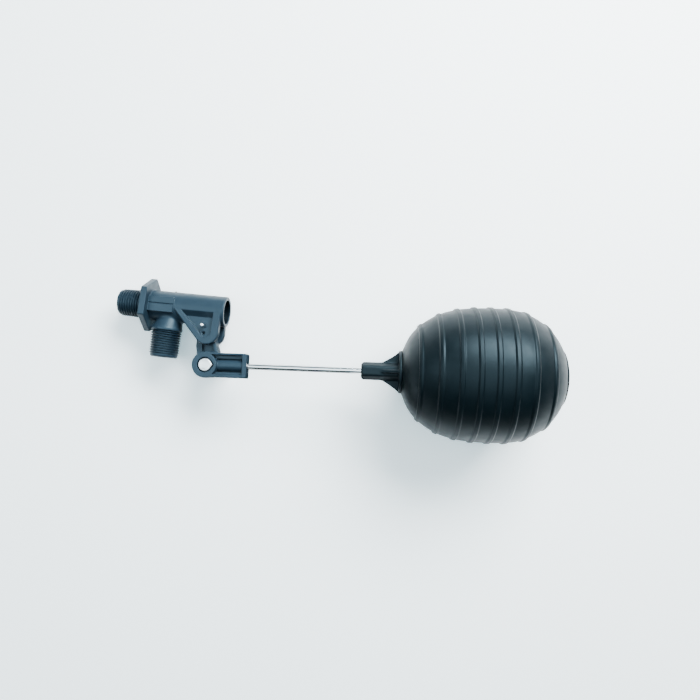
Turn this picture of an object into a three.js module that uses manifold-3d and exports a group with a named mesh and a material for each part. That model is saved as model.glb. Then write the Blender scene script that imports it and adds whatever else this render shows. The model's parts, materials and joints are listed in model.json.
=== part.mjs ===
// Float valve: a plastic body with a threaded inlet and outlet, a plunger, a lever on a pin and a float
// on an adjustable arm. Millimetres. The pieces are built in the valve's own frame (X along the tube
// towards the float, Y away from the outlet, Z out of the face with the label pads) and then laid on the
// ground, where the body's flange, the clamp bolt's tail and the float touch it. +Z of the part is up.
import * as THREE from "three";
import { mergeVertices } from "three/addons/utils/BufferGeometryUtils.js";
import Module from "manifold-3d";

const wasm = await Module();
wasm.setup();

// How the valve lies
const LIE_PITCH_DEG = 4.05;
const LIE_ROLL_DEG = 3.63;

// Clearances
const GAP = 0.3;
const RUNNING = 0.08;

// Taper pipe threads
const THREAD_PITCH = 1.95;
const THREAD_DEPTH = 1.2;
const THREAD_TAPER = 1 / 32;
const THREAD_START = 0.7;
const THREAD_RUN_OUT = 2.2;

// Body
const INLET_LENGTH = 21.8;
const INLET_CREST_R = 11.3;
const INLET_BORE_R = 7.2;
const FLANGE_SIDE = 21.8;
const FLANGE_TURN_DEG = -3.5;
const FLANGE_THICK = 5;
const TUBE_R = 12.3;
const TUBE_END_X = 65.4;
const CHAMBER_R = 9.6;
const CHAMBER_X = 8;
const PAD_START_X = 3;
const PAD_END_X = 25.2;
const PAD_TOP_Y = 6.4;
const PAD_SPLIT_Y = 0.8;
const PAD_LOW_Y = -5.8;
const PAD_DEPTH_UPPER = 12.9;
const PAD_DEPTH_LOWER = 13.4;
const OUTLET_X = 18.1;
const OUTLET_END_Y = -41.2;
const OUTLET_CREST_R = 11.95;
const OUTLET_BORE_R = 7.4;
const SHOULDER_R = 12.3;
const SHOULDER_TOP_Y = -17.6;
const SHOULDER_LOW_Y = -19.8;
const NECK_TOP_X = 20.9;
const NECK_TOP_Y = -6;
const NECK_TOP_R = 8.4;
const EAR_INNER_Z = 6;
const EAR_WEB_Z = 8.6;
const EAR_OUTER_Z = 12.4;
const EAR_CENTRE = [53.6, -18.8];
const EAR_R = 9.3;
const EAR_WEB_CENTRE = [52.9, -18.2];
const EAR_WEB_R = 4;
const EAR_WEB_TOP_Y = -2.4;
const EAR_SLOPE_END_Y = -6.4;
const LEVER_SLOT_HALF_Z = 5.8;

// Pivot pin
const PIVOT_X = 50.4;
const PIVOT_Y = -13.1;
const SPARE_HOLE_X = 50.8;
const SPARE_HOLE_Y = -18.9;
const SPARE_HOLE_R = 1.1;
const PIN_R = 1.5;
const PIN_FRONT_Z = 15.4;
const PIN_BACK_Z = -13.6;
const CLIP_R = 3.7;
const CLIP_THICK = 0.8;

// Lever
const LEVER_HALF_Z = 5.5;
const LEVER_TIP_HALF_Z = 4.2;
const LEVER_TIP_Y = -0.9;
const LEVER_TIP_R = 2.4;
const LEVER_SHANK_HALF = 1.9;
const LEVER_BOSS_R = 4.1;
const LEVER_HUB_R = 9.9;
const LEVER_PANEL_DEPTH = 3.2;

// Nozzle and plunger
const NOZZLE_BACK_X = -4;
const NOZZLE_R = 6.9;
const NOZZLE_FLANGE_R = 9.2;
const NOZZLE_TIP_X = 12.3;
const NOZZLE_TIP_R = 4;
const ORIFICE_R = 2.4;
const PLUNGER_R = 9.2;
const PLUNGER_END_X = 55.6;
const PLUNGER_SLOT_HALF_X = 3.2;
const PLUNGER_SLOT_HALF_Z = 5;
const SEAL_R = 4.6;
const SEAL_THICK = 2.6;

// Arm: the holder's hub is on the clamp axis
const CLAMP_X = 56.8;
const CLAMP_Y = -43.8;
const ARM_RISE_DEG = 3.68;
const HOLDER_BACK_Z = 5.8;
const HOLDER_FRONT_Z = 16.8;
const HUB_R = 10.2;
const HOLDER_HALF = 9.6;
const HOLDER_END = 32.6;
const POCKET_HUB_R = 9.4;
const POCKET_END = 28.9;
const POCKET_TOP = 7.8;
const POCKET_LOW = -6.9;
const POCKET_FLOOR_Z = 12.6;
const ROD_MOUTH_R = 3.3;
const ROD_MOUTH_DEEP = 1.6;
const BARREL_R = 4.4;
const ROD_R = 2.38;
const ROD_Z = 11.3;
const ROD_START = 12;
const ROD_END = 150.3;
const INSERT_R = 3.4;

// Clamp hardware, 1/4 inch
const BOLT_R = 3.17;
const BOLT_HEAD_R = 5.05;
const BOLT_HEAD_POINT = 5.8;
const BOLT_HEAD_THICK = 3;
const BOLT_TAIL_Z = -26.7;
const RECESS_R = 5.9;
const RECESS_POINT = 6.8;
const WASHER_R = 8;
const WASHER_THICK = 1.4;
const LOCK_R = 5.6;
const LOCK_THICK = 1.6;
const WING_HUB_R = 6;
const WING_HUB_HIGH = 7;
const WING_SPAN = 13.6;
const WING_TOP_Z = -21.6;
const WING_THICK = 3;

// Float, distances along the arm from the clamp axis
const STEM_START = 121.1;
const STEM_FLAT = 12.7;
const FIN_START = 135.3;
const FIN_R = 16.2;
const FIN_THICK = 2.2;
const COLLAR_START = 150.1;
const COLLAR_END = 152.2;
const COLLAR_R = 16.4;
const PLUG_R = 6.2;
const SHELL_START = 152.5;
const SHELL_END = 275.4;
const SHELL_WALL = 2.4;
const BAND_WIDTH = 3.2;
const BAND_HIGH = 0.9;
const CAP_R = 9;
const CAP_PLUG_R = 6;

// Outline of the float's wall between the bands: distance along the arm, radius
const EGG = [
  [152.5, 17],
  [157.7, 28],
  [164.9, 36.4],
  [178.6, 45.2],
  [192.3, 49.4],
  [205.1, 51],
  [217.5, 51.3],
  [230.1, 51],
  [243.7, 48.4],
  [259.1, 39.6],
  [267.7, 30.2],
  [273, 19.8],
  [274.8, 12.6],
  [275.4, 6.4],
];
const BAND_X = [164.9, 178.6, 192.3, 205.1, 217.5, 230.1, 243.7, 259.1, 272.9];

const toX = new THREE.Matrix4().makeBasis(
  new THREE.Vector3(0, 0, 1),
  new THREE.Vector3(1, 0, 0),
  new THREE.Vector3(0, 1, 0),
);
const toZ = new THREE.Matrix4().makeBasis(
  new THREE.Vector3(0, 1, 0),
  new THREE.Vector3(0, 0, 1),
  new THREE.Vector3(1, 0, 0),
);

// A geometry as a solid whose faces point outwards
function solid(geometry) {
  const bare = geometry.index ? geometry.toNonIndexed() : geometry.clone();
  bare.deleteAttribute("normal");
  bare.deleteAttribute("uv");
  const merged = mergeVertices(bare, 1e-4);
  const vertProperties = new Float32Array(merged.attributes.position.array);
  const triVerts = new Uint32Array(merged.index.array);
  const build = () => new wasm.Manifold(new wasm.Mesh({ numProp: 3, vertProperties, triVerts }));
  const made = build();
  if (made.volume() > 0) {
    return made;
  }
  for (let i = 0; i < triVerts.length; i += 3) {
    [triVerts[i + 1], triVerts[i + 2]] = [triVerts[i + 2], triVerts[i + 1]];
  }
  return build();
}

// A body of revolution about X, Y or Z: profile points are [radius, distance along the axis]
function turned(points, axis, segments = 32) {
  const profile = points.map(([r, along]) => new THREE.Vector2(r, along));
  profile.push(profile[0].clone());
  const geometry = new THREE.LatheGeometry(profile, segments);
  if (axis === "x") {
    geometry.applyMatrix4(toX);
  }
  if (axis === "z") {
    geometry.applyMatrix4(toZ);
  }
  return geometry;
}

// A round bar or, with an inner radius, a sleeve
function round(axis, radius, from, to, segments = 32, inner = 0) {
  return turned([[inner, from], [radius, from], [radius, to], [inner, to]], axis, segments);
}

// A flat outline in X and Y with thickness along Z
function plate(points, from, to) {
  const shape = new THREE.Shape(points.map(([x, y]) => new THREE.Vector2(x, y)));
  const geometry = new THREE.ExtrudeGeometry(shape, { depth: to - from, bevelEnabled: false });
  return geometry.translate(0, 0, from);
}

function block(x0, x1, y0, y1, z0, z1) {
  const geometry = new THREE.BoxGeometry(x1 - x0, y1 - y0, z1 - z0);
  return geometry.translate((x0 + x1) / 2, (y0 + y1) / 2, (z0 + z1) / 2);
}

// Points on an arc, angles in degrees
function arc(cx, cy, r, from, to, steps) {
  const points = [];
  for (let i = 0; i <= steps; i += 1) {
    const a = THREE.MathUtils.degToRad(from + ((to - from) * i) / steps);
    points.push([cx + r * Math.cos(a), cy + r * Math.sin(a)]);
  }
  return points;
}

function ring(axis, centreR, wireR, along) {
  const section = arc(centreR, along, wireR, 0, 315, 7);
  return turned(section, axis, 28);
}

// A closed skin through level rings about upright axes: rings are [centre x, y, radius]
function loft(rings, segments) {
  const positions = [];
  const indices = [];
  rings.forEach(([cx, y, r]) => {
    for (let i = 0; i < segments; i += 1) {
      const a = (2 * Math.PI * i) / segments;
      positions.push(cx + r * Math.cos(a), y, r * Math.sin(a));
    }
  });
  for (let k = 0; k + 1 < rings.length; k += 1) {
    for (let i = 0; i < segments; i += 1) {
      const a = k * segments + i;
      const b = k * segments + ((i + 1) % segments);
      indices.push(a, b, a + segments, b, b + segments, a + segments);
    }
  }
  const last = (rings.length - 1) * segments;
  for (let i = 1; i + 1 < segments; i += 1) {
    indices.push(0, i + 1, i, last, last + i, last + i + 1);
  }
  const geometry = new THREE.BufferGeometry();
  geometry.setAttribute("position", new THREE.Float32BufferAttribute(positions, 3));
  geometry.setIndex(indices);
  return geometry;
}

function joined(geometries) {
  return geometries.map(solid).reduce((sum, piece) => sum.add(piece));
}

function cut(body, geometries) {
  return geometries.map(solid).reduce((rest, piece) => rest.subtract(piece), body);
}

// Thread profile from the shoulder at distance `from` to the free end at `to`
function threadProfile(from, to, crestR) {
  const sense = Math.sign(to - from);
  const length = Math.abs(to - from);
  const turns = Math.floor((length - THREAD_RUN_OUT) / THREAD_PITCH);
  const points = [[0, from], [crestR - THREAD_DEPTH, from]];
  for (let i = 0; i < turns; i += 1) {
    const along = THREAD_START + i * THREAD_PITCH;
    const crest = crestR - along * THREAD_TAPER;
    points.push([crest - THREAD_DEPTH, from + sense * along]);
    points.push([crest, from + sense * (along + THREAD_PITCH / 2)]);
  }
  const end = crestR - THREAD_DEPTH - length * THREAD_TAPER;
  points.push([end, from + sense * (THREAD_START + turns * THREAD_PITCH)]);
  points.push([end, to]);
  points.push([0, to]);
  return points;
}

const lying = new THREE.Group();
const arm = new THREE.Group();
arm.position.set(CLAMP_X, CLAMP_Y, 0);
arm.rotation.z = THREE.MathUtils.degToRad(ARM_RISE_DEG);
lying.add(arm);

function addPiece(parent, name, shape, colour, metalness, roughness) {
  const made = shape.getMesh();
  const geometry = new THREE.BufferGeometry();
  const vertices = new Float32Array(made.vertProperties);
  geometry.setAttribute("position", new THREE.BufferAttribute(vertices, 3));
  geometry.setIndex(new THREE.BufferAttribute(new Uint32Array(made.triVerts), 1));
  geometry.computeVertexNormals();
  const material = new THREE.MeshStandardMaterial({ color: colour, metalness, roughness });
  const mesh = new THREE.Mesh(geometry, material);
  mesh.name = name;
  parent.add(mesh);
}

const SLATE = 0x4a6072;
const BLACK = 0x14181b;
const STEEL = 0xc4c8ca;
const BRASS = 0xb08d57;
const RUBBER = 0x1c1c1e;

// Valve body
const earOutline = [
  [25.3, -2],
  ...arc(...EAR_CENTRE, EAR_R, -137, -3, 12),
  [63.3, -4],
  [63.3, -1],
  [25.3, -1],
];
const webOutline = [
  [31.6, EAR_WEB_TOP_Y],
  ...arc(...EAR_WEB_CENTRE, EAR_WEB_R, -136, -3, 8),
  [57.5, EAR_WEB_TOP_Y],
];
// The web lies deep between the ear's ridges, and a slope leads up from it to the tube
const slopeOutline = [
  [EAR_SLOPE_END_Y, EAR_WEB_Z - 1],
  [EAR_SLOPE_END_Y, EAR_WEB_Z],
  [EAR_WEB_TOP_Y, TUBE_R],
  [EAR_WEB_TOP_Y + 2, TUBE_R + 2],
  [EAR_WEB_TOP_Y + 2, EAR_WEB_Z - 1],
];
function webPocket(side) {
  const [near, far] = [side * EAR_WEB_Z, side * (EAR_OUTER_Z + 2)];
  const slope = plate(
    slopeOutline.map(([y, z]) => [y, side * z]),
    EAR_WEB_CENTRE[0] - 30,
    EAR_WEB_CENTRE[0] + 10,
  ).applyMatrix4(toZ);
  return cut(solid(plate(webOutline, Math.min(near, far), Math.max(near, far))), [slope]);
}
function mirroredPair(outline, from, to) {
  return [plate(outline, from, to), plate(outline, -to, -from)];
}
const body = cut(
  joined([
    round("x", TUBE_R, 0, TUBE_END_X, 48),
    round("x", FLANGE_SIDE, 0, FLANGE_THICK, 6).rotateX(THREE.MathUtils.degToRad(FLANGE_TURN_DEG)),
    turned(threadProfile(0, -INLET_LENGTH, INLET_CREST_R), "x"),
    block(PAD_START_X, PAD_END_X, PAD_SPLIT_Y, PAD_TOP_Y, 0, PAD_DEPTH_UPPER),
    block(PAD_START_X, PAD_END_X, PAD_LOW_Y, PAD_SPLIT_Y, 0, PAD_DEPTH_LOWER),
    block(21.2, 22.6, 10, TUBE_R + 0.8, -0.7, 0.7),
    loft(
      [
        [NECK_TOP_X, NECK_TOP_Y, NECK_TOP_R],
        [NECK_TOP_X - 0.6, NECK_TOP_Y - 3, 9.4],
        [OUTLET_X, SHOULDER_TOP_Y, SHOULDER_R - 0.5],
      ],
      32,
    ),
    round("y", SHOULDER_R, SHOULDER_LOW_Y, SHOULDER_TOP_Y).translate(OUTLET_X, 0, 0),
    turned(threadProfile(SHOULDER_LOW_Y, OUTLET_END_Y, OUTLET_CREST_R), "y").translate(OUTLET_X, 0, 0),
    ...mirroredPair(earOutline, EAR_INNER_Z, EAR_OUTER_Z),
  ]),
  [
    round("x", CHAMBER_R, CHAMBER_X, TUBE_END_X + 2, 40),
    round("x", INLET_BORE_R, -INLET_LENGTH - 2, CHAMBER_X + 1),
    round("y", OUTLET_BORE_R, OUTLET_END_Y - 2, -4, 28).translate(OUTLET_X, 0, 0),
    block(44.7, 57.7, -14, -2, -LEVER_SLOT_HALF_Z, LEVER_SLOT_HALF_Z),
    round("z", PIN_R + RUNNING, -20, 20, 20).translate(PIVOT_X, PIVOT_Y, 0),
    round("z", SPARE_HOLE_R, -20, 20, 16).translate(SPARE_HOLE_X, SPARE_HOLE_Y, 0),
  ],
);
const openBody = body.subtract(webPocket(1)).subtract(webPocket(-1));
addPiece(lying, "valve_body", openBody, SLATE, 0, 0.55);

// Nozzle and its seal
const nozzle = cut(
  joined([
    turned(
      [
        [0, NOZZLE_BACK_X],
        [NOZZLE_R, NOZZLE_BACK_X],
        [NOZZLE_R, 1.2],
        [5.1, 1.2],
        [5.1, 3.4],
        [NOZZLE_R, 3.4],
        [NOZZLE_R, CHAMBER_X + GAP],
        [NOZZLE_FLANGE_R, CHAMBER_X + GAP],
        [NOZZLE_FLANGE_R, 9.6],
        [NOZZLE_TIP_R + 1.4, 9.6],
        [NOZZLE_TIP_R, NOZZLE_TIP_X],
        [0, NOZZLE_TIP_X],
      ],
      "x",
      28,
    ),
  ]),
  [
    round("x", ORIFICE_R, NOZZLE_BACK_X - 1, NOZZLE_TIP_X + 1, 20),
    round("x", 5 - 0.4, NOZZLE_BACK_X - 1, 0, 20),
  ],
);
addPiece(lying, "seat_nozzle", nozzle, 0x8d9499, 0, 0.5);
addPiece(lying, "nozzle_o_ring", solid(ring("x", 6.15, 0.7, 2.3)), RUBBER, 0, 0.8);

// Plunger with its disc and ring
const SEAL_X = NOZZLE_TIP_X + GAP;
const plunger = cut(
  joined([
    turned(
      [
        [0, SEAL_X + 0.8],
        [6.4, SEAL_X + 0.8],
        [6.8, 19],
        [3.6, 21],
        [3.6, 26],
        [PLUNGER_R, 27.4],
        [PLUNGER_R, 28.7],
        [7, 28.7],
        [7, 31.3],
        [PLUNGER_R, 31.3],
        [PLUNGER_R, PLUNGER_END_X],
        [0, PLUNGER_END_X],
      ],
      "x",
      36,
    ),
  ]),
  [
    round("x", SEAL_R + GAP, SEAL_X, SEAL_X + SEAL_THICK + GAP, 28),
    block(
      PIVOT_X - PLUNGER_SLOT_HALF_X,
      PIVOT_X + PLUNGER_SLOT_HALF_X,
      -12,
      2.4,
      -PLUNGER_SLOT_HALF_Z,
      PLUNGER_SLOT_HALF_Z,
    ),
    block(PIVOT_X - 8.8, PIVOT_X + 3.8, -12, -2.8, -PLUNGER_SLOT_HALF_Z, PLUNGER_SLOT_HALF_Z),
    round("x", 4, PLUNGER_END_X - 1.2, PLUNGER_END_X + 1, 28),
  ],
);
addPiece(lying, "plunger", plunger, 0x2b3238, 0, 0.5);
const sealDisc = round("x", SEAL_R, SEAL_X, SEAL_X + SEAL_THICK, 28);
addPiece(lying, "seal_disc", solid(sealDisc), RUBBER, 0, 0.8);
addPiece(lying, "plunger_o_ring", solid(ring("x", 8.35, 1, 30)), RUBBER, 0, 0.8);

// Pivot pin and clip
const pin = turned(
  [
    [0, PIN_BACK_Z],
    [PIN_R - 0.4, PIN_BACK_Z],
    [PIN_R, PIN_BACK_Z + 0.4],
    [PIN_R, PIN_FRONT_Z - 0.4],
    [PIN_R - 0.4, PIN_FRONT_Z],
    [0, PIN_FRONT_Z],
  ],
  "z",
  20,
).translate(PIVOT_X, PIVOT_Y, 0);
addPiece(lying, "pivot_pin", solid(pin), STEEL, 1, 0.3);
const clipBack = -EAR_WEB_Z - GAP - CLIP_THICK;
const clip = cut(
  joined([round("z", CLIP_R, clipBack, -EAR_WEB_Z - GAP, 24).translate(PIVOT_X, PIVOT_Y, 0)]),
  [
    round("z", PIN_R + GAP, clipBack - 1, -EAR_WEB_Z, 20).translate(PIVOT_X, PIVOT_Y, 0),
    block(
      PIVOT_X - 1.1,
      PIVOT_X + 1.1,
      PIVOT_Y - 5,
      PIVOT_Y,
      clipBack - 1,
      -EAR_WEB_Z,
    ),
  ],
);
addPiece(lying, "pivot_pin_clip", clip, STEEL, 1, 0.35);

// Lever
const leverOutline = [
  [PIVOT_X - LEVER_BOSS_R, PIVOT_Y],
  [44.8, -24],
  [44.9, -29.6],
  [46, -34.3],
  ...arc(CLAMP_X, CLAMP_Y, LEVER_HUB_R, 175, 375, 14),
  [64.2, -35],
  [62.6, -32],
  [59.8, -25],
  [58, -18.7],
  ...arc(PIVOT_X, PIVOT_Y, LEVER_BOSS_R, -20, 160, 8),
];
const shankOutline = [
  [PIVOT_X - LEVER_SHANK_HALF, LEVER_TIP_Y],
  [PIVOT_X - LEVER_SHANK_HALF, PIVOT_Y],
  [PIVOT_X + LEVER_SHANK_HALF, PIVOT_Y],
  [PIVOT_X + LEVER_SHANK_HALF, LEVER_TIP_Y],
];
const panelOutline = [
  [49.8, -21],
  [55.6, -21],
  [57.4, -26],
  [60.4, -32.6],
  [50.4, -33.5],
];
const lever = cut(
  joined([
    plate(leverOutline, -LEVER_HALF_Z, LEVER_HALF_Z),
    plate(shankOutline, -LEVER_TIP_HALF_Z, LEVER_TIP_HALF_Z),
    round("z", LEVER_TIP_R, -LEVER_TIP_HALF_Z, LEVER_TIP_HALF_Z, 20).translate(
      PIVOT_X,
      LEVER_TIP_Y,
      0,
    ),
  ]),
  [
    round("z", PIN_R + RUNNING, -8, 8, 20).translate(PIVOT_X, PIVOT_Y, 0),
    round("z", BOLT_R + RUNNING, -8, 8, 28).translate(CLAMP_X, CLAMP_Y, 0),
    plate(panelOutline, LEVER_HALF_Z - LEVER_PANEL_DEPTH, LEVER_HALF_Z + 1),
    plate(panelOutline, -LEVER_HALF_Z - 1, -LEVER_HALF_Z + LEVER_PANEL_DEPTH),
  ],
);
addPiece(lying, "lever", lever, SLATE, 0, 0.55);

// Rod holder, in the arm's frame
function dropOutline(radius, point) {
  const half = 34;
  return [...arc(0, 0, radius, half, 360 - half, 18), [point, -0.5], [point, 0.5]];
}
const holderTurn = THREE.MathUtils.radToDeg(Math.asin(HOLDER_HALF / HUB_R));
const holderOutline = [
  ...arc(0, 0, HUB_R, holderTurn, 360 - holderTurn, 18),
  [HOLDER_END, -HOLDER_HALF],
  [HOLDER_END, HOLDER_HALF],
];
// The pocket ends on the round wall of the hub
const pocketTurn = (y) => THREE.MathUtils.radToDeg(Math.asin(y / POCKET_HUB_R));
const pocket = plate(
  [
    ...arc(0, 0, POCKET_HUB_R, pocketTurn(POCKET_TOP), pocketTurn(POCKET_LOW), 14),
    [POCKET_END, POCKET_LOW],
    [POCKET_END, POCKET_TOP],
  ],
  POCKET_FLOOR_Z,
  HOLDER_FRONT_Z + 1,
);
const holderPlate = cut(solid(plate(holderOutline, HOLDER_BACK_Z, HOLDER_FRONT_Z)), [pocket]);
const barrel = round("x", BARREL_R, POCKET_HUB_R - 0.6, POCKET_END + 1, 28).translate(0, 0, ROD_Z);
const holder = cut(holderPlate.add(solid(barrel)), [
  round("x", INSERT_R + GAP, ROD_START - 1, POCKET_END, 24).translate(0, 0, ROD_Z),
  round("x", ROD_R + GAP, POCKET_END - 1, HOLDER_END + 1, 24).translate(0, 0, ROD_Z),
  round("x", ROD_MOUTH_R, HOLDER_END - ROD_MOUTH_DEEP, HOLDER_END + 1, 24).translate(0, 0, ROD_Z),
  round("z", BOLT_R + GAP, 0, 20, 28),
  plate(
    dropOutline(RECESS_R, RECESS_POINT),
    HOLDER_FRONT_Z - BOLT_HEAD_THICK - GAP,
    HOLDER_FRONT_Z + 1,
  ),
]);
addPiece(arm, "rod_holder", holder, SLATE, 0, 0.55);
const holderSleeve = round("x", INSERT_R, ROD_START, POCKET_END - GAP, 24, ROD_R + GAP);
addPiece(arm, "holder_insert", solid(holderSleeve.translate(0, 0, ROD_Z)), BRASS, 1, 0.35);

// Clamp bolt, washers and wing nut
const boltHead = plate(
  dropOutline(BOLT_HEAD_R, BOLT_HEAD_POINT),
  HOLDER_FRONT_Z - BOLT_HEAD_THICK,
  HOLDER_FRONT_Z,
);
const boltShank = turned(
  [
    [0, BOLT_TAIL_Z],
    [BOLT_R - 0.7, BOLT_TAIL_Z],
    [BOLT_R, BOLT_TAIL_Z + 0.7],
    [BOLT_R, HOLDER_FRONT_Z - 1],
    [0, HOLDER_FRONT_Z - 1],
  ],
  "z",
  28,
);
addPiece(arm, "clamp_bolt", joined([boltHead, boltShank]), STEEL, 1, 0.3);
const washerFront = -LEVER_HALF_Z - GAP;
const washer = round("z", WASHER_R, washerFront - WASHER_THICK, washerFront, 32, BOLT_R + GAP);
addPiece(lying, "flat_washer", solid(washer.translate(CLAMP_X, CLAMP_Y, 0)), STEEL, 1, 0.35);
const lockFront = washerFront - WASHER_THICK - GAP;
const lock = cut(solid(round("z", LOCK_R, lockFront - LOCK_THICK, lockFront, 28, BOLT_R + GAP)), [
  block(-0.6, 0.6, 2, 8, lockFront - 4, lockFront + 2),
]);
addPiece(arm, "lock_washer", lock, STEEL, 1, 0.35);
const nutFront = lockFront - LOCK_THICK - GAP;
const wings = plate(
  [
    [-WING_SPAN, WING_TOP_Z],
    [-WING_SPAN + 4.6, WING_TOP_Z - 0.4],
    [-WING_HUB_R + 1, nutFront - WING_HUB_HIGH + 1],
    [WING_HUB_R - 1, nutFront - WING_HUB_HIGH + 1],
    [WING_SPAN - 4.6, WING_TOP_Z - 0.4],
    [WING_SPAN, WING_TOP_Z],
    [WING_SPAN - 0.4, WING_TOP_Z + 5.4],
    [WING_HUB_R, nutFront - 0.8],
    [-WING_HUB_R, nutFront - 0.8],
    [-WING_SPAN + 0.4, WING_TOP_Z + 5.4],
  ],
  -WING_THICK / 2,
  WING_THICK / 2,
).applyMatrix4(new THREE.Matrix4().makeRotationX(Math.PI / 2));
const wingHub = turned(
  [
    [0, nutFront - WING_HUB_HIGH],
    [WING_HUB_R - 1.4, nutFront - WING_HUB_HIGH],
    [WING_HUB_R, nutFront],
    [0, nutFront],
  ],
  "z",
  28,
);
const wingNut = cut(joined([wingHub, wings]), [round("z", BOLT_R + RUNNING, -30, 0, 28)]);
addPiece(arm, "wing_nut", wingNut, STEEL, 1, 0.35);

// Rod, stem and float
const rodBar = turned(
  [
    [0, ROD_START],
    [ROD_R - 0.5, ROD_START],
    [ROD_R, ROD_START + 0.5],
    [ROD_R, ROD_END - 0.5],
    [ROD_R - 0.5, ROD_END],
    [0, ROD_END],
  ],
  "x",
  28,
).translate(0, 0, ROD_Z);
addPiece(arm, "float_rod", solid(rodBar), STEEL, 1, 0.22);

const stemHex = new THREE.CylinderGeometry(
  STEM_FLAT / Math.sqrt(3),
  STEM_FLAT / Math.sqrt(3),
  COLLAR_START + 1 - STEM_START,
  6,
);
stemHex.applyMatrix4(toX);
stemHex.translate((STEM_START + COLLAR_START + 1) / 2, 0, 0);
const stemTrim = round("x", STEM_FLAT / 2 + 0.55, STEM_START - 1, COLLAR_START + 1, 32);
const finOutline = [
  [FIN_START, 3],
  [FIN_START, STEM_FLAT / 2 - 0.6],
  [FIN_START + 5, STEM_FLAT / 2 + 2.4],
  [COLLAR_START - 0.4, FIN_R - 0.6],
  [COLLAR_START + 1, FIN_R],
  [COLLAR_START + 1, -FIN_R],
  [COLLAR_START - 0.4, -FIN_R + 0.6],
  [FIN_START + 5, -STEM_FLAT / 2 - 2.4],
  [FIN_START, -STEM_FLAT / 2 + 0.6],
  [FIN_START, -3],
];
const fins = plate(finOutline, -FIN_THICK / 2, FIN_THICK / 2);
const crossFins = fins.clone().rotateX(Math.PI / 2);
const stem = cut(
  solid(stemHex)
    .intersect(solid(stemTrim))
    .add(solid(fins))
    .add(solid(crossFins))
    .add(solid(round("x", COLLAR_R, COLLAR_START, COLLAR_END, 36)))
    .add(solid(round("x", PLUG_R, COLLAR_START, COLLAR_END + 5, 28))),
  [
    round("x", ROD_R + GAP, STEM_START - 1, ROD_END + GAP, 24),
    round("x", 4.4, 138.4, ROD_END + GAP, 24),
  ],
);
addPiece(arm, "float_stem", stem.translate([0, 0, ROD_Z]), BLACK, 0, 0.5);
const stemSleeve = round("x", 4.1, 138.7, ROD_END, 24, ROD_R + GAP);
addPiece(arm, "stem_insert", solid(stemSleeve.translate(0, 0, ROD_Z)), BRASS, 1, 0.35);

const eggCurve = new THREE.SplineCurve(EGG.map(([x, r]) => new THREE.Vector2(x, r))).getPoints(260);
function eggRadius(x) {
  const k = eggCurve.findIndex((p) => p.x >= x);
  if (k < 1) {
    return EGG[0][1];
  }
  const a = eggCurve[k - 1];
  const b = eggCurve[k];
  return a.y + ((b.y - a.y) * (x - a.x)) / (b.x - a.x);
}
const shellProfile = [
  [PLUG_R + GAP, SHELL_START],
  [EGG[0][1] - 1, SHELL_START],
  [eggRadius(SHELL_START + 0.6), SHELL_START + 0.6],
  [eggRadius(155.1), 155.1],
  [eggRadius(159.1), 159.1],
];
BAND_X.forEach((x, i) => {
  const half = Math.min(BAND_WIDTH / 2, SHELL_END - x - 1.2);
  shellProfile.push([eggRadius(x - half), x - half]);
  shellProfile.push([eggRadius(x - half * 0.5) + BAND_HIGH, x - half * 0.5]);
  shellProfile.push([eggRadius(x + half * 0.5) + BAND_HIGH, x + half * 0.5]);
  shellProfile.push([eggRadius(x + half), x + half]);
  if (i + 1 < BAND_X.length) {
    const next = (x + BAND_X[i + 1]) / 2;
    shellProfile.push([eggRadius(next), next]);
  }
});
shellProfile.push([eggRadius(SHELL_END - 0.5), SHELL_END - 0.5]);
shellProfile.push([CAP_PLUG_R + GAP, SHELL_END]);
shellProfile.push([CAP_PLUG_R + GAP, SHELL_END - SHELL_WALL]);
for (let i = 12; i >= 1; i -= 1) {
  const x = SHELL_START + SHELL_WALL + ((SHELL_END - SHELL_START - 2 * SHELL_WALL) * i) / 12.6;
  shellProfile.push([Math.max(eggRadius(x) - SHELL_WALL - 0.6, PLUG_R + 1), x]);
}
shellProfile.push([PLUG_R + GAP, SHELL_START + SHELL_WALL]);
const shell = turned(shellProfile, "x", 40).translate(0, 0, ROD_Z);
addPiece(arm, "float_shell", solid(shell), BLACK, 0, 0.45);
const capStart = SHELL_END + GAP;
const cap = turned(
  [
    [0, SHELL_END - 6],
    [CAP_PLUG_R, SHELL_END - 6],
    [CAP_PLUG_R, capStart],
    [CAP_R, capStart],
    [CAP_R - 0.3, capStart + 0.7],
    [CAP_R - 2, capStart + 1.2],
    [0, capStart + 1.2],
  ],
  "x",
  32,
).translate(0, 0, ROD_Z);
addPiece(arm, "float_end_cap", solid(cap), BLACK, 0, 0.45);

// Lay the valve on the ground, centred over the origin
lying.rotation.order = "YXZ";
lying.rotation.set(
  THREE.MathUtils.degToRad(-LIE_ROLL_DEG),
  THREE.MathUtils.degToRad(-LIE_PITCH_DEG),
  0,
);
const bounds = new THREE.Box3().setFromObject(lying, true);
lying.position.set(
  -(bounds.min.x + bounds.max.x) / 2,
  -(bounds.min.y + bounds.max.y) / 2,
  -bounds.min.z,
);
const group = new THREE.Group();
group.add(lying);

export default group;
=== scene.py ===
"""Float valve: the finished look of each piece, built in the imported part's frame."""

import json
import math

import bpy
import numpy as np
import openvdb
from mathutils import Matrix, Vector


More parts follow.
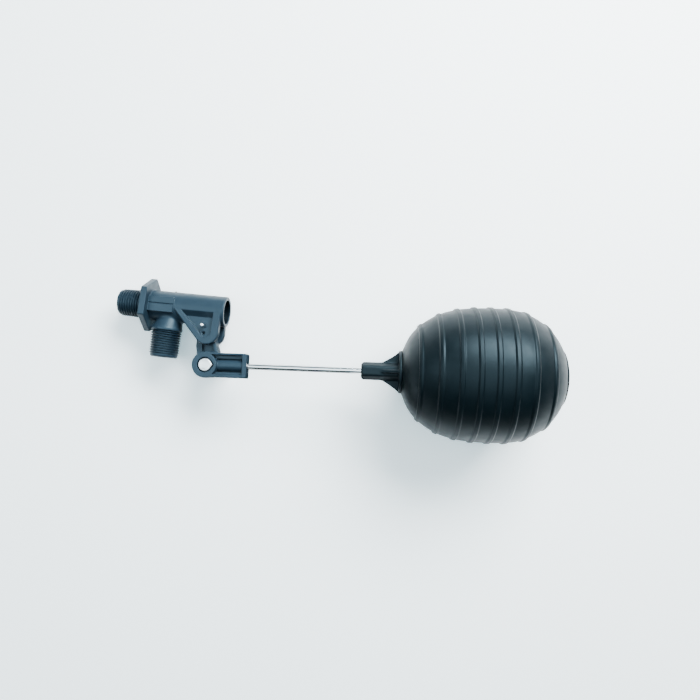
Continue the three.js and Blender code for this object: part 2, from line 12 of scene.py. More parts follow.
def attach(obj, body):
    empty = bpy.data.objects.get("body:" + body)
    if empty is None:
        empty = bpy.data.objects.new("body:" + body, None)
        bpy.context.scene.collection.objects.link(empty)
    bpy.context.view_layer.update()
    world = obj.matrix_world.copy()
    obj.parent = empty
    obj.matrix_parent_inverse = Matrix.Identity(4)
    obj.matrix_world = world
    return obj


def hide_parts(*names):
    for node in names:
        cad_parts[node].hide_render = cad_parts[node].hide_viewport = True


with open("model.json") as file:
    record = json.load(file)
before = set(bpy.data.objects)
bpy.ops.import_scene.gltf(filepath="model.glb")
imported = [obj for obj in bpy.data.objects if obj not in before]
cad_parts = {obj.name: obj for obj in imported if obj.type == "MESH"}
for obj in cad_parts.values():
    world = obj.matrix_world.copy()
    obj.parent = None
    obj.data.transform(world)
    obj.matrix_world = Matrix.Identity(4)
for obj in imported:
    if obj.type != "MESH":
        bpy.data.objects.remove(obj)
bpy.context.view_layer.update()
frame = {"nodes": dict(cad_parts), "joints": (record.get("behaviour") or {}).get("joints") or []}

# ---------------------------------------------------------------- frames
# Valve frame: X along the tube, Y away from the outlet, Z out of the face with the pads, millimetres.
JOINTS = {j["name"]: j for j in frame["joints"]}
PIVOT = (50.4, -13.1)
CLAMP = (56.8, -43.8)
ARM_RISE = math.radians(3.68)


def frame_matrix(ex, ez, origin):
    ey = ez.cross(ex)
    return Matrix(
        (
            (ex.x, ey.x, ez.x, origin.x),
            (ex.y, ey.y, ez.y, origin.y),
            (ex.z, ey.z, ez.z, origin.z),
            (0, 0, 0, 1),
        )
    )


EX = Vector(JOINTS["plunger_slide"]["axis"]).normalized()
EZ = -Vector(JOINTS["lever_pivot"]["axis"]).normalized()
EY = EZ.cross(EX)
ORIGIN = (
    Vector(JOINTS["lever_pivot"]["pos_m"])
    - EX * PIVOT[0] / 1000
    - EY * PIVOT[1] / 1000
)
VALVE = frame_matrix(EX, EZ, ORIGIN)
ARM = (
    VALVE
    @ Matrix.Translation((CLAMP[0] / 1000, CLAMP[1] / 1000, 0))
    @ Matrix.Rotation(ARM_RISE, 4, "Z")
)
ROD_Z = 11.3


# ---------------------------------------------------------------- meshes
def make_object(name, points, faces, matrix, material, body, slot, replaces=()):
    """points in millimetres of the given frame"""
    mesh = bpy.data.meshes.new(name)
    placed = np.asarray(points, float) / 1000 @ np.array(matrix.to_3x3()).T + np.array(matrix.translation)
    mesh.from_pydata(placed.tolist(), [], faces)
    mesh.validate()
    mesh.shade_smooth()
    obj = bpy.data.objects.new(name, mesh)
    bpy.context.scene.collection.objects.link(obj)
    obj.data.materials.append(material)
    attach(obj, body)
    if replaces:
        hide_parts(*replaces)
    return obj


class Field:
    """Sample positions of a block of space, for shapes given as signed distances"""

    def __init__(self, lo, hi, step):
        self.lo, self.step = np.array(lo, float), step
        axes = [np.arange(a, b + step, step, dtype=np.float32) for a, b in zip(lo, hi)]
        self.shape = tuple(len(a) for a in axes)
        self.x = axes[0][:, None, None]
        self.y = axes[1][None, :, None]
        self.z = axes[2][None, None, :]

    def mesh(self, distance):
        grid = openvdb.FloatGrid(50.0)
        solid = np.array(np.broadcast_to(distance, self.shape), np.float32, order="C")
        grid.copyFromArray(solid)
        points, quads = grid.convertToQuads(0.0)
        points = points * self.step + self.lo
        quads = quads[:, ::-1]
        a = points[quads[:, 0]]
        b = points[quads[:, 1]]
        c = points[quads[:, 2]]
        if np.einsum("ij,ij->i", a, np.cross(b, c)).sum() < 0:
            quads = quads[:, ::-1]
        return points, quads.tolist()


def hexagon(across, along, half, edge):
    """A hexagon in two coordinates, with two flats facing along"""
    d = np.abs(along) - half
    for lean in (0.5, -0.5):
        d = common(d, np.abs(across * math.sqrt(3) / 2 + along * lean) - half, edge)
    return d


def both(a, b, k=0.0):
    """Union, with a fillet of about k"""
    if k <= 0:
        return np.minimum(a, b)
    h = np.maximum(k - np.abs(a - b), 0) / k
    return np.minimum(a, b) - h * h * k / 4


def common(a, b, k=0.0):
    return -both(-a, -b, k)


def less(a, b, k=0.0):
    """a with b cut out of it"""
    return common(a, -b, k)


def rod_along(u, v, w, radius, lo, hi, edge=0.3):
    """Round bar along w"""
    return common(np.hypot(u, v) - radius, np.maximum(lo - w, w - hi), edge)


def slab(d2, w, lo, hi, edge=0.3):
    """A flat shape made thick along w"""
    return common(d2, np.maximum(lo - w, w - hi), edge)


def outline_distance(x, y, points):
    """Signed distance to a closed outline in two coordinates"""
    pts = np.array(points, np.float32)
    x, y = np.broadcast_arrays(x, y)
    best = np.full(x.shape, 1e9, np.float32)
    sign = np.ones(x.shape, np.float32)
    for (ax, ay), (bx, by) in zip(pts, np.roll(pts, -1, axis=0)):
        ex, ey = bx - ax, by - ay
        wx, wy = x - ax, y - ay
        t = np.clip((wx * ex + wy * ey) / (ex * ex + ey * ey), 0, 1)
        best = np.minimum(best, (wx - ex * t) ** 2 + (wy - ey * t) ** 2)
        c1, c2, c3 = y >= ay, y < by, ex * wy > ey * wx
        flip = (c1 & c2 & c3) | (~c1 & ~c2 & ~c3)
        sign[flip] *= -1
    return sign * np.sqrt(best)


def through(d2, f):
    """A flat shape in x and y, for a cut through the whole block"""
    return np.broadcast_to(d2, f.shape)


def box_distance(f, x0, x1, y0, y1, z0, z1, edge=0.3):
    dx = np.maximum(x0 - f.x, f.x - x1)
    dy = np.maximum(y0 - f.y, f.y - y1)
    dz = np.maximum(z0 - f.z, f.z - z1)
    return common(common(dx, dy, edge), dz, edge)


def arc(cx, cy, r, start, end, steps):
    """Points on a circle, with the angles in degrees"""
    angles = np.radians(np.linspace(start, end, steps + 1))
    return [(cx + r * math.cos(a), cy + r * math.sin(a)) for a in angles]


def point_along(points, axis):
    """Turn points made along x to run along the named axis"""
    order = {"x": [0, 1, 2], "y": [2, 0, 1], "z": [1, 2, 0]}[axis]
    return points[:, order]


def turned(profile, segments, axis="x", offset=(0, 0, 0)):
    """A closed body of revolution; profile points are (radius, distance), from axis to axis"""
    points, faces, rows = [], [], []
    for r, along in profile:
        if r < 1e-6:
            rows.append([len(points)])
            points.append((along, 0, 0))
            continue
        rows.append(list(range(len(points), len(points) + segments)))
        for i in range(segments):
            a = 2 * math.pi * i / segments
            points.append((along, r * math.cos(a), r * math.sin(a)))
    for low, high in zip(rows, rows[1:]):
        for i in range(segments):
            j = (i + 1) % segments
            if len(low) == 1 and len(high) == 1:
                continue
            if len(low) == 1:
                faces.append((low[0], high[j], high[i]))
            elif len(high) == 1:
                faces.append((low[i], low[j], high[0]))
            else:
                faces.append((low[i], low[j], high[j], high[i]))
    return point_along(np.array(points), axis) + np.array(offset), faces


def thread(start, end, crest, form, inner, axis, offset=(0, 0, 0), segments=120):
    """A helical external thread as a closed sleeve, from the shoulder at start to the free end"""
    depth, pitch, taper = form
    sense = 1 if end > start else -1
    length = abs(end - start)
    rows = int(length / pitch * 12)
    along = np.linspace(0, length, rows + 1)
    angle = 2 * np.pi * np.arange(segments) / segments
    a, t = np.meshgrid(along, angle, indexing="ij")
    phase = np.mod(a / pitch - t / (2 * np.pi), 1.0)
    wave = np.clip(1.5 - np.abs(phase - 0.5) * 3.4, 0, 1)
    wave = wave * wave * (3 - 2 * wave)
    fade = np.clip((a - 0.1) / 0.9, 0, 1) * np.clip((length - 0.5 - a) / 1.5, 0, 1)
    root = crest - depth - a * taper
    r = root + depth * wave * fade
    r[0] = root[0]
    r[-1] = root[-1] - 0.35
    pts = np.stack([start + sense * a, r * np.cos(t), r * np.sin(t)], axis=-1)
    bore = np.stack([np.full(segments, start), inner * np.cos(angle), inner * np.sin(angle)], axis=-1)
    bore_end = bore + np.array((end - start, 0, 0))
    pts = np.concatenate([bore[None], pts, bore_end[None]])
    count = pts.shape[0]
    low = np.arange(count * segments).reshape(count, segments)
    high = np.roll(low, -1, axis=0)
    quads = np.stack([low, np.roll(low, -1, axis=1), np.roll(high, -1, axis=1), high], axis=-1).reshape(-1, 4)
    if sense < 0:
        quads = quads[:, ::-1]
    return point_along(pts.reshape(-1, 3), axis) + np.array(offset), quads.tolist()


def together(*meshes):
    """Several meshes as one"""
    points, faces = [], []
    for pts, fcs in meshes:
        base = sum(len(p) for p in points)
        points.append(np.asarray(pts, float))
        faces += [tuple(i + base for i in f) for f in fcs]
    return np.concatenate(points), faces


# ---------------------------------------------------------------- materials
def new_material(name):
    mat = bpy.data.materials.new(name)
    mat.use_nodes = True
    tree = mat.node_tree
    tree.nodes.clear()
    out = tree.nodes.new("ShaderNodeOutputMaterial")
    shader = tree.nodes.new("ShaderNodeBsdfPrincipled")
    tree.links.new(shader.outputs[0], out.inputs[0])
    coords = tree.nodes.new("ShaderNodeTexCoord")
    return mat, tree, shader, coords.outputs["Object"]


def noise(tree, vector, scale, detail=3.0, roughness=0.55, stretch=None):
    if stretch:
        mapping = tree.nodes.new("ShaderNodeMapping")
        mapping.inputs["Scale"].default_value = stretch
        tree.links.new(vector, mapping.inputs["Vector"])
        vector = mapping.outputs[0]
    node = tree.nodes.new("ShaderNodeTexNoise")
    node.inputs["Scale"].default_value = scale
    node.inputs["Detail"].default_value = detail
    node.inputs["Roughness"].default_value = roughness
    tree.links.new(vector, node.inputs["Vector"])
    return node.outputs[0]


def ramp(tree, value, lo, hi, at=(0.3, 0.7)):
    node = tree.nodes.new("ShaderNodeValToRGB")
    node.color_ramp.elements[0].position, node.color_ramp.elements[0].color = at[0], lo
    node.color_ramp.elements[1].position, node.color_ramp.elements[1].color = at[1], hi
    tree.links.new(value, node.inputs[0])
    return node.outputs[0]


def spread(tree, value, lo, hi):
    """Noise brought to the range lo to hi"""
    node = tree.nodes.new("ShaderNodeMapRange")
    node.inputs["From Min"].default_value = 0.3
    node.inputs["From Max"].default_value = 0.7
    node.inputs["To Min"].default_value = lo
    node.inputs["To Max"].default_value = hi
    tree.links.new(value, node.inputs["Value"])
    return node.outputs[0]


def bump(tree, shader, height, strength, distance, after=None):
    node = tree.nodes.new("ShaderNodeBump")
    node.inputs["Strength"].default_value = strength
    node.inputs["Distance"].default_value = distance
    tree.links.new(height, node.inputs["Height"])
    if after is not None:
        tree.links.new(after, node.inputs["Normal"])
    tree.links.new(node.outputs[0], shader.inputs["Normal"])
    return node.outputs[0]


SHEEN_TINT = (0.68, 0.89, 1.0, 1)


def plastic(name, dark, light, rough, grain=1600, strength=0.12, mottle=60, specular=0.25):
    """Moulded plastic: slight colour drift, fine spark texture, uneven gloss"""
    mat, tree, shader, at = new_material(name)
    drift = noise(tree, at, mottle, 4, 0.6)
    tree.links.new(ramp(tree, drift, (*dark, 1), (*light, 1)), shader.inputs["Base Color"])
    gloss = noise(tree, at, mottle * 3, 3, 0.6)
    tree.links.new(spread(tree, gloss, rough[0], rough[1]), shader.inputs["Roughness"])
    soft = bump(tree, shader, noise(tree, at, mottle * 2.2, 2, 0.5), strength * 0.8, 0.00025)
    bump(tree, shader, noise(tree, at, grain, 2, 0.5), strength, 0.00008, soft)
    shader.inputs["Specular IOR Level"].default_value = specular
    shader.inputs["Specular Tint"].default_value = SHEEN_TINT
    return mat


def metal(name, colour, rough, stretch, strength=0.1, grain=900):
    """Drawn or brushed metal with marks running along one direction"""
    mat, tree, shader, at = new_material(name)
    shader.inputs["Metallic"].default_value = 1.0
    tone = noise(tree, at, 220, 3, 0.6, stretch)
    dark = tuple(c * 0.82 for c in colour)
    tree.links.new(ramp(tree, tone, (*dark, 1), (*colour, 1)), shader.inputs["Base Color"])
    marks = noise(tree, at, grain, 4, 0.65, stretch)
    tree.links.new(spread(tree, marks, rough[0], rough[1]), shader.inputs["Roughness"])
    bump(tree, shader, marks, strength, 0.00004)
    return mat


SLATE = plastic("slate_plastic_look", (0.0086, 0.0168, 0.0252), (0.0106, 0.0208, 0.0308), (0.33, 0.45))
# Pipe threads: a darker copy of the slate plastic, painted shade for the thread grooves
THREAD_PAINTED_SHADE = plastic(
    "slate_thread_painted_shade", (0.002, 0.0055, 0.0095), (0.003, 0.008, 0.0135), (0.38, 0.5), specular=0.15
)
# Chamber wall: a near-black copy of the slate plastic, painted shade deep in the tube
BORE_PAINTED_SHADE = plastic(
    "slate_bore_painted_shade", (0.0006, 0.002, 0.0034), (0.001, 0.003, 0.005), (0.5, 0.62), specular=0.1
)
BLACK = plastic(
    "black_float_look", (0.0006, 0.0021, 0.003), (0.0011, 0.0032, 0.0043), (0.38, 0.48), 900, 0.1, 34, 0.14
)
STEM_BLACK = plastic(
    "black_stem_look", (0.0012, 0.0034, 0.0046), (0.002, 0.005, 0.0066), (0.42, 0.56), 1500, specular=0.16
)
PALE = plastic("nozzle_plastic_look", (0.21, 0.23, 0.25), (0.27, 0.29, 0.31), (0.4, 0.5))
DARK = plastic("plunger_plastic_look", (0.022, 0.026, 0.03), (0.032, 0.037, 0.042), (0.42, 0.56))
RUBBER = plastic("rubber_look", (0.012, 0.012, 0.013), (0.02, 0.02, 0.021), (0.68, 0.85), 2600, 0.2)
ROD_STEEL = metal("drawn_rod_look", (0.8, 0.82, 0.83), (0.08, 0.16), (6, 120, 120), 0.05)
BOLT_STEEL = metal("bolt_steel_look", (0.74, 0.75, 0.75), (0.26, 0.4), (60, 4, 60), 0.14, 600)
PIN_STEEL = metal("pin_steel_look", (0.8, 0.81, 0.82), (0.18, 0.28), (80, 80, 6), 0.06)
BRASS = metal("turned_brass_look", (0.68, 0.5, 0.24), (0.24, 0.36), (200, 8, 8), 0.1)


# ---------------------------------------------------------------- valve body
TUBE_R = 12.3
TUBE_END_X = 65.4
CHAMBER_R = 9.6
CHAMBER_START_X = 8
MOUTH_R = 10.3
FLANGE_SIDE = 21.8
FLANGE_THICK = 5
FLANGE_TURN = math.radians(-3.5)
INLET_END_X = -21.8
INLET_THREAD_R = 11.3
INLET_BORE_R = 7.2
OUTLET_X = 18.1
OUTLET_END_Y = -41.2
OUTLET_THREAD_R = 11.95
OUTLET_BORE_R = 7.4
NECK_TOP_X = 20.9
PIPE_THREAD = (1.2, 1.95, 1 / 32)  # depth, pitch and taper
PAD_START_X = 3
PAD_END_X = 25.2
PIN_HOLE_R = 1.58
SPARE_HOLE = (50.8, -18.9)
EAR_WEB_SLOPE = math.radians(42.8)


def flange(f):
    """Hexagon, turned a little about the tube"""
    y = f.y * math.cos(FLANGE_TURN) + f.z * math.sin(FLANGE_TURN)
    z = f.z * math.cos(FLANGE_TURN) - f.y * math.sin(FLANGE_TURN)
    flats = hexagon(y, z, FLANGE_SIDE * math.sqrt(3) / 2, 0.6)
    return common(flats, np.maximum(-f.x, f.x - FLANGE_THICK), 0.55)


def outlet_neck(f):
    """Cone that leans from under the tube to the outlet's shoulder"""
    t = np.clip((-6 - f.y) / 11.6, 0, 1)
    centre = NECK_TOP_X - (NECK_TOP_X - OUTLET_X) * t
    radius = 8.4 + 3.6 * t**0.9
    return common((np.hypot(f.x - centre, f.z) - radius) * 0.93, np.maximum(-18.6 - f.y, f.y + 2), 1.6)


def label_pads(f):
    upper = box_distance(f, PAD_START_X, PAD_END_X, 0.98, 6.4, 0, 12.95)
    lower = box_distance(f, PAD_START_X, PAD_END_X, -5.8, 0.6, 0, 13.4)
    return both(upper, lower)


def add_ears(f, d):
    """Round-edged ridges around deep webs, which slope up to the tube"""
    az = np.abs(f.z)
    outline = [(25.3, -1), (25.3, -2)] + arc(53.6, -18.8, 9.3, -137, -3, 16) + [(63.3, -4), (63.3, -1)]
    web = [(31.6, -2.4)] + arc(52.9, -18.2, 4.0, -136, -3, 12) + [(57.5, -2.4)]
    d = both(d, slab(outline_distance(f.x, f.y, outline), az, 6, 12.4, 1.5), 0.5)
    rise = math.cos(EAR_WEB_SLOPE) * (az - TUBE_R) - math.sin(EAR_WEB_SLOPE) * (f.y + 2.4)
    pocket = np.maximum(outline_distance(f.x, f.y, web), np.maximum(8.6 - az, -rise))
    return less(d, pocket, 0.45)


def cut_bores(f, d):
    x, y, z = f.x, f.y, f.z
    d = less(d, rod_along(y, z, x, CHAMBER_R, CHAMBER_START_X, 70), 0.3)
    mouth = np.hypot(y, z) - (MOUTH_R - (TUBE_END_X + 0.6 - x) * 0.75)
    d = less(d, common(mouth, 62 - x), 0.2)
    d = less(d, rod_along(y, z, x, INLET_BORE_R, -30, CHAMBER_START_X + 1, 0.0), 0.5)
    d = less(d, rod_along(x - OUTLET_X, z, y, OUTLET_BORE_R, -50, -4, 0.0), 0.5)
    d = less(d, box_distance(f, 44.7, 57.7, -14, -2, -5.8, 5.8, 0.5), 0.3)
    pin = np.hypot(x - PIVOT[0], y - PIVOT[1]) - PIN_HOLE_R
    spare = np.hypot(x - SPARE_HOLE[0], y - SPARE_HOLE[1]) - 1.2
    return less(d, through(both(pin, spare), f), 0.25)


def build_body():
    f = Field((-23, -43, -20), (67.5, 23.5, 20), 0.34)
    x, y, z = f.x, f.y, f.z
    d = both(rod_along(y, z, x, TUBE_R, 0, TUBE_END_X, 0.7), flange(f), 0.8)
    d = both(d, outlet_neck(f), 1.4)
    d = both(d, rod_along(x - OUTLET_X, z, y, 12.3, -19.8, -17.2, 1.0), 0.5)
    d = both(d, rod_along(x - OUTLET_X, z, y, 10.7, OUTLET_END_Y, -18, 2.0))
    d = both(d, rod_along(y, z, x, 10.1, INLET_END_X, 2, 1.8))
    d = both(d, label_pads(f), 0.15)
    pip = box_distance(f, 21.2, 22.6, 8, TUBE_R + 0.75, -0.7, 0.7, 0.5)
    d = cut_bores(f, add_ears(f, both(d, pip, 0.3)))
    points, faces = f.mesh(d)
    body = make_object("body_shell", points, faces, VALVE, SLATE, "valve", "slate_plastic", ["valve_body"])
    # The chamber's wall gets a near-black copy of the slate plastic: painted shade inside the tube
    body.data.materials.append(BORE_PAINTED_SHADE)
    middle = points[np.array(faces)].mean(axis=1)
    radius = np.hypot(middle[:, 1], middle[:, 2])
    along = middle[:, 0]
    painted_shade_faces = (radius < CHAMBER_R + 0.15) & (along > CHAMBER_START_X) & (along < TUBE_END_X - 0.4)
    body.data.polygons.foreach_set("material_index", painted_shade_faces.astype(np.int32))


def build_threads():
    inlet = thread(0.2, INLET_END_X + 0.8, INLET_THREAD_R, PIPE_THREAD, 9, "x")
    outlet = thread(-19.5, OUTLET_END_Y + 1.2, OUTLET_THREAD_R, PIPE_THREAD, 9, "y", (OUTLET_X, 0, 0))
    # The threads take the darker slate copy: painted shade in the grooves
    make_object("pipe_threads", *together(inlet, outlet), VALVE, THREAD_PAINTED_SHADE, "valve", "slate_plastic")


# ---------------------------------------------------------------- lever
LEVER_HALF_Z = 5.5
LEVER_HUB_R = 9.9
LEVER_TOP_R = 4.1
LEVER_TIP_Y = -0.9
BOLT_HOLE_R = 3.26


def build_lever():
    f = Field((43.8, -55.5, -6.5), (68, 3, 6.5), 0.24)
    x, y, z = f.x, f.y, f.z
    px, py = PIVOT
    outline = (
        [(px - LEVER_TOP_R, py), (44.8, -24), (44.9, -29.6), (46, -34.3)]
        + arc(*CLAMP, LEVER_HUB_R, 175, 375, 20)
        + [(64.2, -35), (62.6, -32), (59.8, -25), (58, -18.7)]
        + arc(px, py, LEVER_TOP_R, -20, 160, 12)
    )
    plate = outline_distance(x, y, outline)
    d = slab(plate, np.abs(z), -1, LEVER_HALF_Z, 0.7)
    shank = box_distance(f, px - 1.9, px + 1.9, -14, LEVER_TIP_Y, -4.2, 4.2, 0.4)
    tip = slab(np.hypot(x - px, y - LEVER_TIP_Y) - 2.4, np.abs(z), -1, 4.2, 0.5)
    d = both(d, both(shank, tip, 0.5), 0.8)
    # A sunk panel on each face
    panel = outline_distance(x, y, [(49.8, -21), (55.6, -21), (57.4, -26), (60.4, -32.6), (50.4, -33.5)])
    d = less(d, slab(panel, np.abs(z), 2.3, 9, 0.0), 0.5)
    d = less(d, through(np.hypot(x - px, y - py) - PIN_HOLE_R, f))
    d = less(d, through(np.hypot(x - CLAMP[0], y - CLAMP[1]) - BOLT_HOLE_R, f), 0.3)
    make_object("lever_arm", *f.mesh(d), VALVE, SLATE, "lever", "slate_plastic", ["lever"])


# ---------------------------------------------------------------- rod holder
HOLDER_HUB_R = 10.2
HOLDER_HALF_Y = 9.6
HOLDER_END_X = 32.6
HOLDER_BACK_Z = 5.8
HOLDER_FACE_Z = 16.8
HEAD_SEAT_Z = 13.5


def drop(x, y, radius, point):
    """A round head with one pointed side, as a signed distance"""
    half = 34
    pts = arc(0, 0, radius, half, 360 - half, 40) + [(point, -0.4), (point, 0.4)]
    return outline_distance(x, y, pts)


def build_holder():
    f = Field((-11, -11, 5), (33.9, 11, 17.6), 0.24)
    x, y, z = f.x, f.y, f.z
    hub = np.hypot(x, y) - HOLDER_HUB_R
    bar = common(np.abs(y) - HOLDER_HALF_Y, np.maximum(-x, x - HOLDER_END_X), 1.2)
    d = slab(through(both(hub, bar), f), z, HOLDER_BACK_Z, HOLDER_FACE_Z, 0.7)
    # Pocket around the barrel, from the hub's round wall to the end wall
    walls = common(np.maximum(y - 7.8, -6.9 - y), np.maximum(9.4 - np.hypot(x, y), x - 28.9), 0.5)
    walls = np.maximum(walls, -x) - np.clip(z - 15.6, 0, 2) * 0.25
    d = less(d, np.maximum(walls, 12.6 - z), 0.3)
    # A deeper trench on both sides of the barrel
    trench = common(np.abs(y) - 5.1, np.maximum(9.8 - np.hypot(x, y), x - 28.6), 0.3)
    d = less(d, np.maximum(np.maximum(trench, -x), 8.5 - z), 0.2)
    barrel = rod_along(y, z - ROD_Z, x, 4.4, 8.8, 30, 0.2)
    d = both(d, barrel, 0.25)
    d = less(d, rod_along(y, z - ROD_Z, x, 2.66, 28, 40, 0.0), 0.3)
    d = less(d, rod_along(y, z - ROD_Z, x, 3.7, 11, 28.9, 0.0))
    d = less(d, rod_along(y, z - ROD_Z, x, 3.3, 31, 40, 0.0), 0.3)
    seat = drop(x, y, 5.9, 6.8)
    d = less(d, np.maximum(seat, HEAD_SEAT_Z - z), 0.35)
    d = less(d, through(np.hypot(x, y) - 3.47, f))
    make_object("arm_holder", *f.mesh(d), ARM, SLATE, "arm", "slate_plastic", ["rod_holder"])


# ---------------------------------------------------------------- clamp hardware
BOLT_R = 3.17
BOLT_THREAD = (0.42, 1.27, 0)  # depth, pitch and taper
BOLT_TAIL_Z = -26
BOLT_NECK_Z = 14.2


def build_bolt():
    f = Field((-6, -6, 13), (7.6, 6, 17.6), 0.14)
    d = slab(drop(f.x, f.y, 5.05, 5.8), f.z, 13.8, 16.8, 0.9)
    dish = np.hypot(f.x, f.y)
    d = d + 0.12 * np.exp(-(((dish - 3.3) / 0.35) ** 2)) * (f.z > 15)
    head = f.mesh(d)
    core = [(0, BOLT_TAIL_Z), (2.6, BOLT_TAIL_Z), (2.75, -25.6), (2.75, BOLT_NECK_Z), (0, BOLT_NECK_Z)]
    screw = thread(2.0, BOLT_TAIL_Z - 0.5, BOLT_R, BOLT_THREAD, 2.5, "z", segments=64)
    shank = [(0, 1.8), (3.1, 1.8), (BOLT_R, 2.2), (BOLT_R, BOLT_NECK_Z), (0, BOLT_NECK_Z)]
    bolt = together(head, turned(core, 48, "z"), screw, turned(shank, 48, "z"))
    make_object("clamp_bolt_keyed", *bolt, ARM, BOLT_STEEL, "arm", "stainless", ["clamp_bolt"])


def build_wing_nut():
    f = Field((-14.6, -7, -23), (14.6, 7, -8.6), 0.22)
    x, y, z = f.x, f.y, f.z
    hub_r = 6.0 + np.clip((z + 9.4) / 7.0, -1, 0) * 1.4
    hub = common(np.hypot(x, y) - hub_r, np.maximum(-16.4 - z, z + 9.4), 0.6)
    top = [(0, -10.2), (5.8, -10.2), (9.8, -13.6), (13.3, -16.6)]
    tip = [(13.7, -20.2), (12.2, -21.9), (9.4, -21.4), (4.6, -15.2), (0, -15.2)]
    wings = slab(outline_distance(np.abs(x), z, top + tip), np.abs(y), -1, 1.5, 0.9)
    d = both(hub, wings, 1.6)
    d = less(d, through(np.hypot(x, y) - 3.25, f), 0.5)
    make_object("clamp_wing_nut", *f.mesh(d), ARM, BOLT_STEEL, "wing_nut", "stainless", ["wing_nut"])


PIN_R = 1.5
PIN_LEAN = math.radians(-38)
ROD_R = 2.38


def build_pin():
    profile = [(0, -13.6), (1.0, -13.6), (1.35, -13.45), (PIN_R, -13.2)]
    profile += [(PIN_R, z) for z in np.linspace(-12.8, 14.6, 12)]
    profile += [(PIN_R, 14.9), (1.38, 15.2), (1.1, 15.38), (0.6, 15.4), (0, 15.4)]
    pts, faces = turned(profile, 48, "z")
    # The front end is pinched to an oval that leans towards the float
    tip = np.clip((pts[:, 2] - 12.4) / 3, 0, 1)
    pts[:, 1] *= 1 - 0.3 * tip
    cos, sin = math.cos(PIN_LEAN), math.sin(PIN_LEAN)
    pts[:, :2] = pts[:, :2] @ np.array([[cos, sin], [-sin, cos]])
    pts += np.array((*PIVOT, 0))
    make_object("pivot_pin_bar", pts, faces, VALVE, PIN_STEEL, "valve", "stainless", ["pivot_pin"])


def build_rod():
    profile = [(0, 12), (1.9, 12), (2.2, 12.2), (ROD_R, 12.6)]
    profile += [(ROD_R, x) for x in np.linspace(13, 149.7, 60)]
    profile += [(2.2, 150.1), (1.9, 150.3), (0, 150.3)]
    pts, faces = turned(profile, 64, "x", (0, 0, ROD_Z))
    make_object("drawn_rod", pts, faces, ARM, ROD_STEEL, "arm", "stainless", ["float_rod"])


# ---------------------------------------------------------------- float
# Distance along the rod from the clamp bolt, and radius there
EGG = [
    (152.5, 17), (157.7, 28), (164.9, 36.4), (178.6, 45.2), (192.3, 49.4), (205.1, 51), (217.5, 51.3),
    (230.1, 51), (243.7, 48.4), (259.1, 39.6), (267.7, 30.2), (273, 19.8), (274.8, 12.6), (275.4, 6.4),
]
STEM_START = 121.1
SHELL_START = 152.5
RIB_LIFT = 0.9
RIB_HALF_WIDTH = 2.0
BANDS = [164.9, 178.6, 192.3, 205.1, 217.5, 230.1, 243.7, 259.1, 272.9]


def smooth_curve(points, per=24):
    """Catmull-Rom through the points, centripetal so that it doesn't overshoot"""
    p = np.array(points, float)
    p = np.vstack([2 * p[0] - p[1], p, 2 * p[-1] - p[-2]])
    out = []
    for k in range(1, len(p) - 2):
        a, b, c, d = p[k - 1 : k + 3]
        t0 = 0
        t1 = t0 + math.sqrt(np.linalg.norm(b - a))
        t2 = t1 + math.sqrt(np.linalg.norm(c - b))
        t3 = t2 + math.sqrt(np.linalg.norm(d - c))
        for t in np.linspace(t1, t2, per, endpoint=False):
            a1 = (t1 - t) / (t1 - t0) * a + (t - t0) / (t1 - t0) * b
            a2 = (t2 - t) / (t2 - t1) * b + (t - t1) / (t2 - t1) * c
            a3 = (t3 - t) / (t3 - t2) * c + (t - t2) / (t3 - t2) * d
            b1 = (t2 - t) / (t2 - t0) * a1 + (t - t0) / (t2 - t0) * a2
            b2 = (t3 - t) / (t3 - t1) * a2 + (t - t1) / (t3 - t1) * a3
            out.append((t2 - t) / (t2 - t1) * b1 + (t - t1) / (t2 - t1) * b2)
    out.append(p[-2])
    return np.array(out)


def build_float():
    curve = smooth_curve(EGG, 30)
    step = np.gradient(curve, axis=0)
    step /= np.linalg.norm(step, axis=1)[:, None]
    normal = np.stack([-step[:, 1], step[:, 0]], axis=1)
    lift = np.zeros(len(curve))
    for b in BANDS:
        k = np.argmin(np.abs(curve[:, 0] - b))
        away = np.linalg.norm(curve - curve[k], axis=1)
        lift = np.maximum(lift, RIB_LIFT * np.clip((RIB_HALF_WIDTH - away) / 0.7, 0, 1))
    skin = curve + normal * lift[:, None]
    skin[:, 0] = np.clip(skin[:, 0], SHELL_START, 275.6)
    profile = [(0, 152.6), (6.6, SHELL_START)] + [(max(r, 6.5), x) for x, r in skin] + [(0, 275.5)]
    dense = [profile[0]]
    for q in profile[1:]:
        if math.hypot(q[0] - dense[-1][0], q[1] - dense[-1][1]) > 0.12:
            dense.append(q)
    dense.append(profile[-1])
    pts, faces = turned(dense, 180, "x", (0, 0, ROD_Z))
    make_object("float_ribbed", pts, faces, ARM, BLACK, "arm", "black_plastic", ["float_shell"])


def build_end_cap():
    plug = [(0, 269.7), (6, 269.7), (6, 275.7)]
    rim = [(8.6, 275.7), (9, 275.9), (9, 276.2), (8.6, 276.6), (7.4, 276.85), (0, 276.9)]
    pts, faces = turned(plug + rim, 64, "x", (0, 0, ROD_Z))
    make_object("float_pole_cap", pts, faces, ARM, STEM_BLACK, "arm", "black_plastic", ["float_end_cap"])


